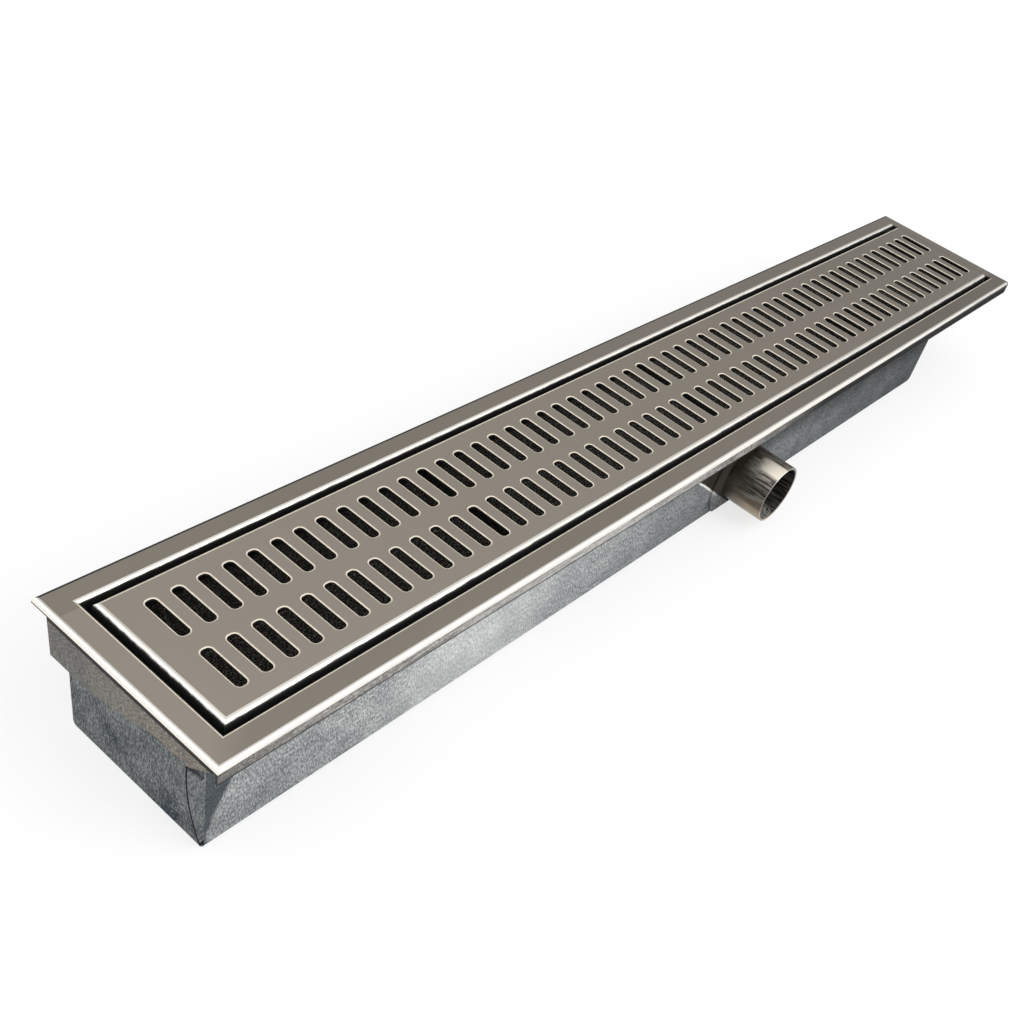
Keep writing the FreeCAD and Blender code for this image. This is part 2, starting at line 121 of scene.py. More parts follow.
# The floor: how white it is to the camera, half its size, and how far it lies below the trough
FLOOR_WHITE = 0.73
FLOOR_HALF = 12.0
FLOOR_DROP = 0.1 * MM

# The lamp on the outlet side
LAMP_PLACE = (0.3, -1.3, 1.1)
LAMP_AIM = (0, 0, 0.05)
LAMP_WIDTH = 1.2
LAMP_HEIGHT = 0.8
LAMP_POWER = 10

# The photograph's view, fitted from the frame's near front top corner
VIEW_FROM_CORNER = Vector((-209.60, -245.03, 408.05)) * MM
VIEW_RIGHT = Vector((0.625739, -0.746966, 0.224706))
VIEW_UP = Vector((0.439667, 0.575699, 0.689393))
VIEW_SENSOR = 36
VIEW_LENS = 42.136
VIEW_SHIFT_X = -0.0506
VIEW_SHIFT_Y = 0.1407
VIEW_NEAREST = 0.01
VIEW_FARTHEST = 50

# Materials of the frame and the cover, in the order of the list sheet
FLAT, ROLL_HIGHLIGHT, HIGHLIGHT_INTO_SHADE, UPRIGHT, LIP, DEBURRED_HIGHLIGHT, SHADED_CUT = range(7)

# The three sides that a section runs round
FRONT_RUN, NEAR_RUN, BACK_RUN = range(3)
RUNS = (FRONT_RUN, NEAR_RUN, BACK_RUN)


def quarter_turn(steps):
    """Angles from 0 to 90 degrees."""
    return [math.pi / 2 * i / steps for i in range(steps + 1)]


def roll_points(radius):
    """A quarter roll as (inward, down), from its upright end to its flat end."""
    return [(radius * (1 - math.cos(a)), radius * (1 - math.sin(a))) for a in quarter_turn(ROLL_STEPS)]


def new_piece(name, mesh, materials):
    piece = bpy.data.objects.new(name, mesh)
    bpy.context.scene.collection.objects.link(piece)
    for material in materials:
        mesh.materials.append(material)
    return piece


def finish_mesh(bm, name):
    """Turn a bmesh into a smooth mesh whose edges are sharp above an angle."""
    bmesh.ops.remove_doubles(bm, verts=bm.verts, dist=MERGE)
    bmesh.ops.recalc_face_normals(bm, faces=bm.faces)
    for face in bm.faces:
        face.smooth = True
    for edge in bm.edges:
        if len(edge.link_faces) == 2 and edge.calc_face_angle() > math.radians(SHARP_DEGREES):
            edge.smooth = False
    mesh = bpy.data.meshes.new(name)
    bm.to_mesh(mesh)
    bm.free()
    return mesh


def apply_modifiers(piece):
    """Bake the piece's modifiers into its mesh."""
    graph = bpy.context.evaluated_depsgraph_get()
    graph.update()
    made = bpy.data.meshes.new_from_object(piece.evaluated_get(graph))
    piece.modifiers.clear()
    piece.data = made


def even_normals(piece):
    """Let the large flat faces lead the shading where a roll runs out into them."""
    normals = piece.modifiers.new("even_normals", "WEIGHTED_NORMAL")
    normals.keep_sharp = True
    apply_modifiers(piece)


def add_box(bm, low, high, material):
    made = bmesh.ops.create_cube(bm, size=1)["verts"]
    middle = (Vector(low) + Vector(high)) / 2
    scale = Matrix.Diagonal((*(Vector(high) - Vector(low)), 1))
    bmesh.ops.transform(bm, matrix=Matrix.Translation(middle) @ scale, verts=made)
    for face in {face for vertex in made for face in vertex.link_faces}:
        face.material_index = material


def cut_box(piece, low, high):
    """Take a box out of the piece."""
    bm = bmesh.new()
    add_box(bm, low, high, UPRIGHT)
    mesh = bpy.data.meshes.new("cutter")
    bm.to_mesh(mesh)
    bm.free()
    cutter = new_piece("cutter", mesh, [])
    cut = piece.modifiers.new("cut", "BOOLEAN")
    cut.operation = "DIFFERENCE"
    cut.object = cutter
    cut.solver = "EXACT"
    apply_modifiers(piece)
    bpy.data.objects.remove(cutter)


def section_rows(bm, section, low, high, far_x):
    """Each point of a section at the ends and mitred corners of its way round three sides."""
    rows = []
    for inset, height, _ in section:
        near, side, z = low.x + inset, high.y - inset, top + height
        corners = [(far_x, -side), (near, -side), (near, side), (far_x, side)]
        rows.append([bm.verts.new((x, y, z)) for x, y in corners])
    return rows


def roll_step_light(step, whole_roll_light):
    """Material of a roll's step, counted from its flat side: one material of painted highlight and shade all
    over, or a thin painted highlight line between flat sheet and painted shade.
    """
    if whole_roll_light is not None:
        return whole_roll_light
    if step < LINE_FROM:
        return FLAT
    return DEBURRED_HIGHLIGHT if step < LINE_TO else SHADED_CUT


# The frame

def frame_section(run):
    """The folded section: (inset from the outer face, height from the top, material to the next)."""
    roll = roll_points(RIM_ROLL)
    hollow = roll_points(RIM_ROLL - SHEET)
    # Outer roll: painted highlight, on the back painted shade; the back rim's inner roll: painted highlight
    # into painted shade, the others a thin painted highlight line
    outer_roll_light = UPRIGHT if run == BACK_RUN else ROLL_HIGHLIGHT
    inner_roll_light = HIGHLIGHT_INTO_SHADE if run == BACK_RUN else None
    # Painted shade line at the lip's foot and, on the short lips, from their foot nearly up to the roll
    outline = [
        (0, -LIP_DEPTH, SHADED_CUT),
        (0, -LIP_DEPTH + LIP_SHADE, LIP if run == FRONT_RUN else SHADED_CUT),
        (0, -SHORT_LIP + LIP_SHADE, LIP if run == FRONT_RUN else outer_roll_light),
    ]
    for i, (inward, down) in enumerate(roll[:-1]):
        outline.append((inward, -down, roll_step_light(ROLL_STEPS - 1 - i, outer_roll_light)))
    outline.append((RIM_ROLL, 0, FLAT))
    for i, (inward, down) in enumerate(roll[:-1]):
        outline.append((RIM_WIDTH - down, -inward, roll_step_light(i, inner_roll_light)))
    outline += [
        (RIM_WIDTH, -RIM_ROLL, UPRIGHT),
        (RIM_WIDTH, -SEAT_DEPTH, UPRIGHT),
        (RIM_WIDTH + SEAT_WIDTH, -SEAT_DEPTH, UPRIGHT),
        (RIM_WIDTH + SEAT_WIDTH, -SEAT_DEPTH - SHEET, UPRIGHT),
        (RIM_WIDTH - SHEET, -SEAT_DEPTH - SHEET, UPRIGHT),
    ]
    outline += [(RIM_WIDTH - SHEET - inward, -SHEET - down, UPRIGHT) for inward, down in hollow]
    outline += [(SHEET + down, -SHEET - inward, UPRIGHT) for inward, down in hollow]
    outline.append((SHEET, -LIP_DEPTH, UPRIGHT))
    return outline


def make_frame(materials):
    """The section run round three sides with mitred corners, and a strip with a fold at the far end."""
    bm = bmesh.new()
    sections = [frame_section(run) for run in RUNS]
    far_inner = frame_high.x - SHEET
    rows = section_rows(bm, sections[FRONT_RUN], frame_low, frame_high, far_inner)
    for i, a in enumerate(rows):
        b = rows[(i + 1) % len(rows)]
        for run, section in enumerate(sections):
            bm.faces.new((a[run], a[run + 1], b[run + 1], b[run])).material_index = section[i][2]
    add_far_end(bm, far_inner)
    piece = new_piece("rolled_frame", finish_mesh(bm, "rolled_frame"), materials)

    # The lip is short at the near end and at the back
    near, half = frame_low.x, frame_high.y
    low, high = top - LIP_DEPTH - SHEET, top - SHORT_LIP
    cut_box(piece, (near - SHEET, SHEET - half, low), (near + SHEET + CLEAR, half + SHEET, high))
    cut_box(piece, (near, half - SHEET - CLEAR, low), (far_inner, half + SHEET, high))
    even_normals(piece)
    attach(piece, "root")
    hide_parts("frame")
    return piece


def add_far_end(bm, far_inner):
    """The flat strip between the two rims, and the fold that closes the ends of the rolled edges."""
    half = frame_high.y
    strip = half - RIM_WIDTH + RIM_ROLL
    near_edge = frame_high.x - FAR_STRIP
    add_box(bm, (near_edge, -strip, top - SHEET), (far_inner, strip, top), FLAT)
    outline = [(half - inward, top - down) for inward, down in roll_points(RIM_ROLL)]
    outline += [(-y, z) for y, z in reversed(outline)]
    outline = [(half, top - LIP_DEPTH)] + outline + [(-half, top - LIP_DEPTH)]
    inner = [bm.verts.new((far_inner, y, z)) for y, z in outline]
    outer = [bm.verts.new((frame_high.x, y, z)) for y, z in outline]
    bm.faces.new(inner).material_index = UPRIGHT
    bm.faces.new(outer[::-1]).material_index = UPRIGHT
    for i, vertex in enumerate(inner):
        before = i - 1
        flat = outline[i][1] == outline[before][1] == top
        face = bm.faces.new((inner[before], vertex, outer[i], outer[before]))
        face.material_index = FLAT if flat else UPRIGHT


# The cover: each slot lies in the middle of its own cell, and flat sheet fills what lies round the cells

first_slot = cover_low.x + NEAR_MARGIN + SLOT_WIDTH / 2
last_slot = cover_high.x - FAR_MARGIN - SLOT_WIDTH / 2
slot_pitch = (last_slot - first_slot) / (SLOT_COLUMNS - 1)
row_y = (SLOT_BRIDGE + SLOT_LENGTH) / 2
cell_x = slot_pitch / 2
cell_y = SLOT_LENGTH / 2 + SLOT_EDGE * 3
flat_y = cover_high.y - COVER_ROLL
underside = top - SHEET

# The signs of a slot's corners, counter-clockwise
QUARTERS = ((1, 1), (-1, 1), (-1, -1), (1, -1))


def slot_outline(centre_x, centre_y, grow):
    """Points round one slot, counter-clockwise from its right side, grown outwards."""
    half_x, half_y = SLOT_WIDTH / 2 + grow, SLOT_LENGTH / 2 + grow
    radius = SLOT_CORNER + grow
    points = []
    for quarter, (sign_x, sign_y) in enumerate(QUARTERS):
        corner = Vector((centre_x + sign_x * (half_x - radius), centre_y + sign_y * (half_y - radius)))
        for a in quarter_turn(CORNER_STEPS * 2):
            turn = a + quarter * math.pi / 2
            points.append(corner + Vector((math.cos(turn), math.sin(turn))) * radius)
    return points


def cell_outline(centre_x, centre_y, outline):
    """For each point of a slot's outline, the point of its cell's rectangle that it joins."""
    joined = []
    per_quarter = CORNER_STEPS * 2 + 1
    for i, point in enumerate(outline):
        quarter, step = divmod(i, per_quarter)
        sign_x, sign_y = QUARTERS[quarter]
        along_first = quarter in (0, 2)
        early = step < CORNER_STEPS
        corner = Vector((centre_x + sign_x * cell_x, centre_y + sign_y * cell_y))
        if step == CORNER_STEPS:
            joined.append(corner)
        elif early == along_first:
            joined.append(Vector((corner.x, point.y)))
        else:
            joined.append(Vector((point.x, corner.y)))
    return joined


def cell_places(centre_x, grow, axis):
    """Where along one axis the points of a cell in the upper row lie, in order."""
    cell = cell_outline(centre_x, row_y, slot_outline(centre_x, row_y, grow))
    return sorted({round(point[axis], PLACE_DIGITS) for point in cell})


def add_sheet(bm, points, z):
    """One flat face."""
    bm.faces.new([bm.verts.new((x, y, z)) for x, y in points])


def add_ring(bm, outer, outer_z, inner, inner_z, material):
    """Faces between two outlines; where points meet a face gets three corners, or there is none."""
    upper = [bm.verts.new((p.x, p.y, outer_z)) for p in outer]
    lower = [bm.verts.new((p.x, p.y, inner_z)) for p in inner]
    count = len(upper)
    for i in range(count):
        after = (i + 1) % count
        quad = [upper[i], upper[after], lower[after], lower[i]]
        distinct = [v for k, v in enumerate(quad) if (v.co - quad[k - 1].co).length > SAME_POINT]
        if len(distinct) > 2:
            bm.faces.new(distinct).material_index = material


def add_slots(bm):
    """The columns of slots, with the strips of sheet beside and between the two rows."""
    cell_inner, cell_outer = row_y - cell_y, row_y + cell_y
    bands = [(-flat_y, -cell_outer), (-cell_inner, cell_inner), (cell_outer, flat_y)]
    for column in range(SLOT_COLUMNS):
        x = first_slot + slot_pitch * column
        for y in (-row_y, row_y):
            grown = slot_outline(x, y, SLOT_EDGE)
            plain = slot_outline(x, y, 0)
            add_ring(bm, cell_outline(x, y, grown), top, grown, top, FLAT)
            add_ring(bm, grown, top, plain, top - SLOT_BEVEL, DEBURRED_HIGHLIGHT)
            add_ring(bm, plain, top - SLOT_BEVEL, plain, underside, SHADED_CUT)
            add_ring(bm, cell_outline(x, y, plain), underside, plain, underside, UPRIGHT)
        for z, grow in ((top, SLOT_EDGE), (underside, 0)):
            places = cell_places(x, grow, 0)
            ends = (places[0], places[-1])
            for low_y, high_y in bands:
                low_row = [(v, low_y) for v in (places if low_y > -flat_y else ends)]
                high_row = [(v, high_y) for v in (places if high_y < flat_y else ends)]
                add_sheet(bm, low_row + high_row[::-1], z)


def add_margins(bm):
    """The sheet before the first and after the last column."""
    margins = [(first_slot - cell_x, cover_low.x + COVER_ROLL), (last_slot + cell_x, cover_high.x)]
    for z, grow in ((top, SLOT_EDGE), (underside, 0)):
        places = cell_places(first_slot, grow, 1)
        side = [-flat_y] + [-y for y in reversed(places)] + places + [flat_y]
        for cell_edge, end in margins:
            add_sheet(bm, [(cell_edge, y) for y in side] + [(end, flat_y), (end, -flat_y)], z)


def add_cover_edges(bm):
    """The rolls and skirts on three sides, outside and inside, and the fold at the far end."""
    skirt = cover_low.z - top
    # Outer roll: painted highlight into painted shade, with painted shade below it; on the back a thin
    # painted highlight line instead
    outside = [(down, -inward, HIGHLIGHT_INTO_SHADE) for inward, down in roll_points(COVER_ROLL)[:-1]]
    outside += [(0, -COVER_ROLL, SHADED_CUT), (0, skirt, UPRIGHT)]
    inside = [(SHEET, skirt, UPRIGHT), (SHEET, -COVER_ROLL, UPRIGHT)]
    hollow = roll_points(COVER_ROLL - SHEET)[:-1]
    inside += [(SHEET + down, -SHEET - inward, UPRIGHT) for inward, down in reversed(hollow)]
    section = outside + inside
    rows = section_rows(bm, section, cover_low, cover_high, cover_high.x)
    for i, (a, b) in enumerate(zip(rows, rows[1:])):
        for run in RUNS:
            back_roll = run == BACK_RUN and i < ROLL_STEPS
            face = bm.faces.new((a[run], a[run + 1], b[run + 1], b[run]))
            face.material_index = roll_step_light(i, None) if back_roll else section[i][2]
    outer_rows = rows[:len(outside)]
    fold = [row[0] for row in outer_rows] + [row[-1] for row in reversed(outer_rows)]
    bm.faces.new(fold).material_index = UPRIGHT


def make_cover(materials):
    """One sheet, rolled down on three sides and folded at the far end, with deburred slots."""
    bm = bmesh.new()
    add_slots(bm)
    add_margins(bm)
    add_cover_edges(bm)
    piece = new_piece("slotted_cover", finish_mesh(bm, "slotted_cover"), materials)
    even_normals(piece)
    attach(piece, "root")
    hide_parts("cover")
    return piece


# Shader helpers

def srgb(red, green, blue):
    """A linear colour from 0-255 display values."""
    def linear(value):
        value /= 255
        return value / 12.92 if value <= 0.04045 else ((value + 0.055) / 1.055) ** 2.4
    return (linear(red), linear(green), linear(blue), 1)


class Shader:
    """The node tree of a material or world, with short calls for the nodes used here.

    A noise lies mostly between 0.3 and 0.7, so ramps over a noise have limits near these.
    """

    def __init__(self, owner):
        owner.use_nodes = True
        self.owner = owner
        self.tree = owner.node_tree
        self.tree.nodes.clear()

    def node(self, kind, inputs, **settings):
        made = self.tree.nodes.new(kind)
        for key, value in settings.items():
            setattr(made, key, value)
        for key, value in inputs.items():
            if isinstance(value, bpy.types.NodeSocket):
                self.tree.links.new(value, made.inputs[key])
            else:
                made.inputs[key].default_value = value
        return made

    def place(self, scale=(1, 1, 1)):
        """Object coordinates, in metres, stretched by scale."""
        where = self.node("ShaderNodeTexCoord", {}).outputs["Object"]
        return self.node("ShaderNodeMapping", {"Vector": where, "Scale": scale}).outputs[0]

    def axis(self, vector, name):
        return self.node("ShaderNodeSeparateXYZ", {"Vector": vector}).outputs[name]

    def vector_math(self, operation, *vectors):
        return self.node("ShaderNodeVectorMath", dict(enumerate(vectors)), operation=operation)

    def from_axis(self, point, across):
        """The way from an axis through the point to here; across is 0 along the axis and 1 else."""
        way = self.vector_math("SUBTRACT", self.place(), point).outputs[0]
        return self.vector_math("MULTIPLY", way, across).outputs[0]

    def length(self, vector):
        return self.vector_math("LENGTH", vector).outputs["Value"]

    def noise(self, scale, detail=4.0, rough=0.55, distortion=0.0):
        """Noise with so many waves in a metre along X, Y and Z."""
        inputs = {"Vector": self.place(scale), "Scale": 1.0, "Detail": detail, "Roughness": rough}
        inputs["Distortion"] = distortion
        return self.node("ShaderNodeTexNoise", inputs).outputs["Fac"]

    def ramp(self, value, low, high, to_low=0.0, to_high=1.0):
        """value, mapped from low..high to to_low..to_high and held there."""
        inputs = {"Value": value, "From Min": low, "From Max": high, "To Min": to_low, "To Max": to_high}
        return self.node("ShaderNodeMapRange", inputs, clamp=True).outputs["Result"]

    def math(self, operation, first, second=0.0):
        return self.node("ShaderNodeMath", {0: first, 1: second}, operation=operation).outputs[0]

    def plus(self, first, second):
        return self.math("ADD", first, second)

    def minus(self, first, second):
        return self.math("SUBTRACT", first, second)

    def times(self, first, *others):
        for other in others:
            first = self.math("MULTIPLY", first, other)
        return first

    def larger(self, first, second):
        return self.math("MAXIMUM", first, second)

    def below(self, value, limit):
        return self.math("LESS_THAN", value, limit)

    def above(self, value, limit):
        return self.math("GREATER_THAN", value, limit)

    def absolute(self, value):
        return self.math("ABSOLUTE", value)

    def apart(self, first, second):
        return self.absolute(self.minus(first, second))

    def ragged(self, value, noise, reach):
        """value, moved up and down by a noise, so that a border at it isn't straight."""
        return self.plus(value, self.times(self.minus(noise, 0.5), reach))

    def mix(self, factor, first, second):
        inputs = {0: factor, 6: first, 7: second}
        return self.node("ShaderNodeMix", inputs, data_type="RGBA", blend_type="MIX").outputs[2]

    def bump(self, height, distance):
        inputs = {"Height": height, "Distance": distance, "Strength": 1.0}
        return self.node("ShaderNodeBump", inputs).outputs[0]

    def finish(self, **inputs):
        surface = self.node("ShaderNodeBsdfPrincipled", {k.replace("_", " "): v for k, v in inputs.items()})
        self.node("ShaderNodeOutputMaterial", {"Surface": surface.outputs[0]})
        return self.owner


# The steel of the frame and the cover

def brushed_steel():
    """Brushed sheet whose grain runs along the drain; painted light makes the cover and the near corner a
    little lighter, and painted shade darkens the front rim towards the far end.
    """
    s = Shader(bpy.data.materials.new("brushed_steel"))
    x, y = (s.axis(s.place(), name) for name in "XY")
    grain = s.noise((20, 1400, 1400), 3.0)
    cloud = s.noise((4, 12, 12), 3.0)
    plain = srgb(154, 146, 135)
    colour = s.mix(s.ramp(cloud, 0.3, 0.7), plain, srgb(163, 155, 144))
    colour = s.mix(s.ramp(grain, 0.3, 0.7, 0.0, 0.3), colour, plain)

    # Painted light: the cover lighter towards the near end, and the near corner lighter
    cover_from, cover_to = 420 * MM, -100 * MM
    cover_painted_light = s.below(s.absolute(y), cover_high.y)
    cover_painted_light = s.times(cover_painted_light, s.ramp(x, cover_from, cover_to))
    mitre = frame_low.x + frame_high.y
    near_painted_light = s.ramp(s.plus(x, s.absolute(y)), mitre + 14 * MM, mitre - 8 * MM)
    near_painted_light = s.times(near_painted_light, s.ramp(y, 30 * MM, -50 * MM))
    colour = s.mix(s.larger(cover_painted_light, near_painted_light), colour, srgb(174, 165, 153))

    # Painted shade: the front rim darker towards the far end
    dark_from, dark_to = 100 * MM, 350 * MM
    front = s.times(s.below(y, cover_low.y), s.ramp(x, dark_from, dark_to, 0.0, 0.3))
    colour = s.mix(front, colour, srgb(84, 77, 70))
    roughness = s.ramp(grain, 0.3, 0.7, 0.3, 0.36)
    return s.finish(Base_Color=colour, Metallic=1.0, Roughness=roughness, Normal=s.bump(grain, 0.01 * MM))


def roll_highlight_steel():
    """Painted highlight on a rolled edge, with painted shade at its foot that reaches higher and higher
    towards the far end.
    """
    s = Shader(bpy.data.materials.new("painted_roll_highlight"))
    where = s.place()
    grain = s.noise((60, 900, 900), 4.0)
    rise_from, rise_to = -50 * MM, 420 * MM
    foot = s.ramp(s.axis(where, "X"), rise_from, rise_to, top - 3.4 * MM, top - 0.9 * MM)
    height = s.ragged(s.minus(s.axis(where, "Z"), foot), grain, 0.8 * MM)
    shade = s.ramp(height, 0.2 * MM, -0.5 * MM)
    # Near white for the painted highlight, dark below the foot for the painted shade
    colour = s.mix(s.ramp(grain, 0.3, 0.7), srgb(236, 231, 221), srgb(252, 249, 244))
    colour = s.mix(shade, colour, srgb(44, 44, 44))
    metal = s.ramp(shade, 0.0, 1.0, 1.0, 0.1)
    return s.finish(Base_Color=colour, Metallic=metal, Roughness=s.ramp(shade, 0.0, 1.0, 0.2, 0.5))


def roll_highlight_into_shade():
    """Painted highlight at the top, then painted shade with a streaky border, down into the gap."""
    s = Shader(bpy.data.materials.new("roll_highlight_into_shade"))
    streak = s.noise((90, 240, 900), 4.0, 0.6)
    # Painted shade below a ragged height, painted highlight above it
    height = s.ragged(s.axis(s.place(), "Z"), streak, 1.2 * MM)
    grime = s.ramp(height, top - 0.6 * MM, top - 1.4 * MM)
    colour = s.mix(grime, srgb(250, 246, 238), srgb(16, 16, 17))
    metal = s.ramp(grime, 0.0, 1.0, 1.0, 0.2)
    return s.finish(Base_Color=colour, Metallic=metal, Roughness=s.ramp(grime, 0.0, 1.0, 0.2, 0.6))


def shaded_steel():
    """Faces turned into the gap or hidden below: dull and dark."""
    s = Shader(bpy.data.materials.new("shaded_steel"))
    shade = s.noise((60, 300, 300), 3.0)
    colour = s.mix(s.ramp(shade, 0.3, 0.7), srgb(22, 22, 23), srgb(46, 44, 42))
    return s.finish(Base_Color=colour, Metallic=0.5, Roughness=0.55)


def lip_steel():
    """The outer lip: speckled grey with faint lengthwise scratches, darker at the near end, with a painted
    sheen before the outlet and painted shade towards the far end.
    """
    s = Shader(bpy.data.materials.new("lip_steel"))
    along = s.axis(s.place(), "X")
    scratch = s.noise((60, 900, 900), 4.0, 0.65)
    speck = s.noise((900, 900, 900), 3.0, 0.7)
    colour = s.mix(s.ramp(scratch, 0.34, 0.66), srgb(120, 116, 112), srgb(200, 198, 194))
    colour = s.mix(s.ramp(speck, 0.42, 0.6, 0.0, 0.7), colour, srgb(66, 64, 62))
    near_end = s.ramp(along, frame_low.x + 50 * MM, frame_low.x, 0.0, 0.6)
    colour = s.mix(near_end, colour, srgb(64, 60, 56))
    painted_light_centre = -130 * MM
    # Painted sheen before the outlet
    bright = s.ramp(s.apart(along, painted_light_centre), 140 * MM, 30 * MM, 0.0, 0.22)
    colour = s.mix(bright, colour, srgb(230, 228, 224))
    # Painted shade towards the far end, where the metal fades too so that little is reflected
    dark_from, dark_to = 0.0, 140 * MM
    colour = s.mix(s.ramp(along, dark_from, dark_to, 0.0, 0.97), colour, srgb(40, 40, 41))
    metal = s.ramp(along, dark_from, dark_to, 0.6, 0.0)
    return s.finish(Base_Color=colour, Metallic=metal, Roughness=0.5, Specular_IOR_Level=0.0,
                    Normal=s.bump(speck, 0.03 * MM))


def deburred_highlight():
    """The deburred line round each opening, with a painted highlight that keeps it bright."""
    s = Shader(bpy.data.materials.new("deburred_edge_highlight"))
    shade = s.noise((400, 400, 400))
    # Near white as a painted highlight
    colour = s.mix(s.ramp(shade, 0.3, 0.7), srgb(226, 217, 200), srgb(200, 190, 174))
    return s.finish(Base_Color=colour, Metallic=0.15, Roughness=0.5)


def shaded_cut_edge():
    """Painted shade on cut edges, on the lip's foot, and on the parts of rolls that lie in the gap."""
    s = Shader(bpy.data.materials.new("shaded_cut_edge"))
    shade = s.noise((300, 300, 300))
    colour = s.mix(s.ramp(shade, 0.3, 0.7), srgb(14, 14, 14), srgb(30, 29, 28))
    return s.finish(Base_Color=colour, Metallic=0.1, Roughness=0.7)


# The galvanised trough

class ZincShader(Shader):
    """A shader with the coordinates and noises that the zinc's layers share."""

    def __init__(self, owner):
        super().__init__(owner)
        where = self.place()
        self.x, self.y, self.z = (self.axis(where, name) for name in "XYZ")
        self.large = self.noise((22, 22, 22), 6.0, 0.62, 0.6)
        self.middle = self.noise((90, 90, 90), 5.0, 0.6)
        self.grit = self.noise((1050, 1050, 450), 3.0, 0.7)
        self.ragged_x = self.plus(self.x, self.times(self.large, 100 * MM))

    def gritty(self, colour, dark_share, dark, bright_share, bright):
        """The colour with dark and with bright grains."""
        colour = self.mix(self.ramp(self.grit, 0.45, 0.58, 0.0, dark_share), colour, dark)
        return self.mix(self.ramp(self.grit, 0.43, 0.34, 0.0, bright_share), colour, bright)


def mottled_zinc(s):
    """Large and small clouds, streaks along the drain, and grit."""
    streak = s.noise((60, 260, 260), 4.0, 0.6)
    zinc = s.mix(s.ramp(s.large, 0.34, 0.66), srgb(150, 154, 156), srgb(214, 215, 214))
    zinc = s.mix(s.ramp(s.middle, 0.4, 0.72, 0.0, 0.5), zinc, srgb(110, 115, 118))
    zinc = s.mix(s.ramp(streak, 0.5, 0.75, 0.0, 0.5), zinc, srgb(222, 222, 220))
    return s.gritty(zinc, 0.78, srgb(76, 80, 83), 0.48, srgb(236, 237, 236))


def wall_painted_light(s, zinc):
    """Painted light and shade on the walls: a painted pool of light between near end and outlet, painted
    shade to both ends and most to the far one, up under the lip at the far end, low down and at the foot.
    """
    # A painted pool of light
    painted_light_centre = -190 * MM
    bright = s.ramp(s.apart(s.x, painted_light_centre), 90 * MM, 20 * MM, 0.0, 0.3)
    zinc = s.mix(bright, zinc, srgb(236, 237, 236))
    near_end = s.ramp(s.x, -240 * MM, -370 * MM, 0.0, 0.25)
    zinc = s.mix(near_end, zinc, srgb(90, 94, 96))
    low = s.ramp(s.z, 30 * MM, 10 * MM, 0.0, 0.2)
    zinc = s.mix(low, zinc, srgb(84, 88, 91))
    # Painted shade to the far end, and up under the lip there
    far_half = s.ramp(s.ragged_x, -60 * MM, 70 * MM, 0.0, 0.6)
    zinc = s.mix(far_half, zinc, srgb(58, 62, 65))
    far_end = s.ramp(s.x, 120 * MM, 380 * MM, 0.0, 0.5)
    zinc = s.mix(far_end, zinc, srgb(28, 30, 32))
    far_upper = s.times(s.ramp(s.x, 0.0, 140 * MM), s.ramp(s.z, 22 * MM, 48 * MM), 0.75)
    zinc = s.mix(far_upper, zinc, srgb(30, 31, 32))
    # Painted shade along the foot
    foot = s.ramp(s.z, 1.3 * MM, 0.5 * MM, 0.0, 0.85)
    return s.mix(foot, zinc, srgb(34, 34, 33))


def near_bend(s, zinc):
    """Painted shade on the near corner's bend, dark and blue, wider at the top."""
    border = s.ramp(s.z, 12 * MM, 48 * MM, trough_low.x + 4 * MM, trough_low.x + 21 * MM)
    past = s.minus(s.plus(s.x, s.times(s.large, 14 * MM)), border)
    bend = s.ramp(past, 7.5 * MM, 5.5 * MM, 0.0, 0.85)
    return s.mix(bend, zinc, srgb(52, 60, 67))


def outlet_dark_patch(s, zinc):
    """Before the outlet the wall is dark, with a painted glint along the slanted border."""
    slant = s.ragged(s.plus(s.x, s.times(s.z, DARK_PATCH_SLOPE)), s.middle, 3 * MM)
    before = s.times(s.below(s.x, pipe_high.x - 6 * MM), s.below(s.y, 0.0))
    dark_patch_colour = s.mix(s.ramp(s.large, 0.35, 0.65), srgb(34, 33, 31), srgb(58, 54, 49))
    in_dark_patch = s.times(before, s.ramp(slant, DARK_PATCH_EDGE, DARK_PATCH_EDGE + 1.0 * MM))
    zinc = s.mix(in_dark_patch, zinc, dark_patch_colour)
    # Painted glint along the border
    rim_starts = s.ramp(slant, DARK_PATCH_EDGE - 2.4 * MM, DARK_PATCH_EDGE - 1.6 * MM)
    rim_ends = s.ramp(slant, DARK_PATCH_EDGE + 0.6 * MM, DARK_PATCH_EDGE)
    rim = s.times(rim_starts, rim_ends, before, s.ramp(s.z, 18 * MM, 30 * MM))
    return s.mix(rim, zinc, srgb(215, 213, 206))


def near_end_painted_shade(s, zinc):
    """The near end is darker with painted shade, with pits, and a painted shadow line along the curved cut
    edge of the corner.
    """
    end = s.below(s.x, trough_low.x + 2.5 * MM)
    end_zinc = s.mix(s.ramp(s.large, 0.36, 0.6), srgb(60, 68, 75), srgb(132, 135, 135))
    end_zinc = s.gritty(end_zinc, 0.62, srgb(28, 33, 38), 0.36, srgb(184, 186, 184))
    # Painted shadow line along the curved cut edge
    radius = s.length(s.from_axis(LAP_CENTRE, (0, 1, 1)))
    line = s.below(s.apart(radius, LAP_RADIUS - LAP_LINE_INSET), LAP_LINE_HALF)
    line = s.times(line, s.below(s.z, LAP_TOP))
    end_zinc = s.mix(line, end_zinc, srgb(10, 11, 12))
    return s.mix(end, zinc, end_zinc)


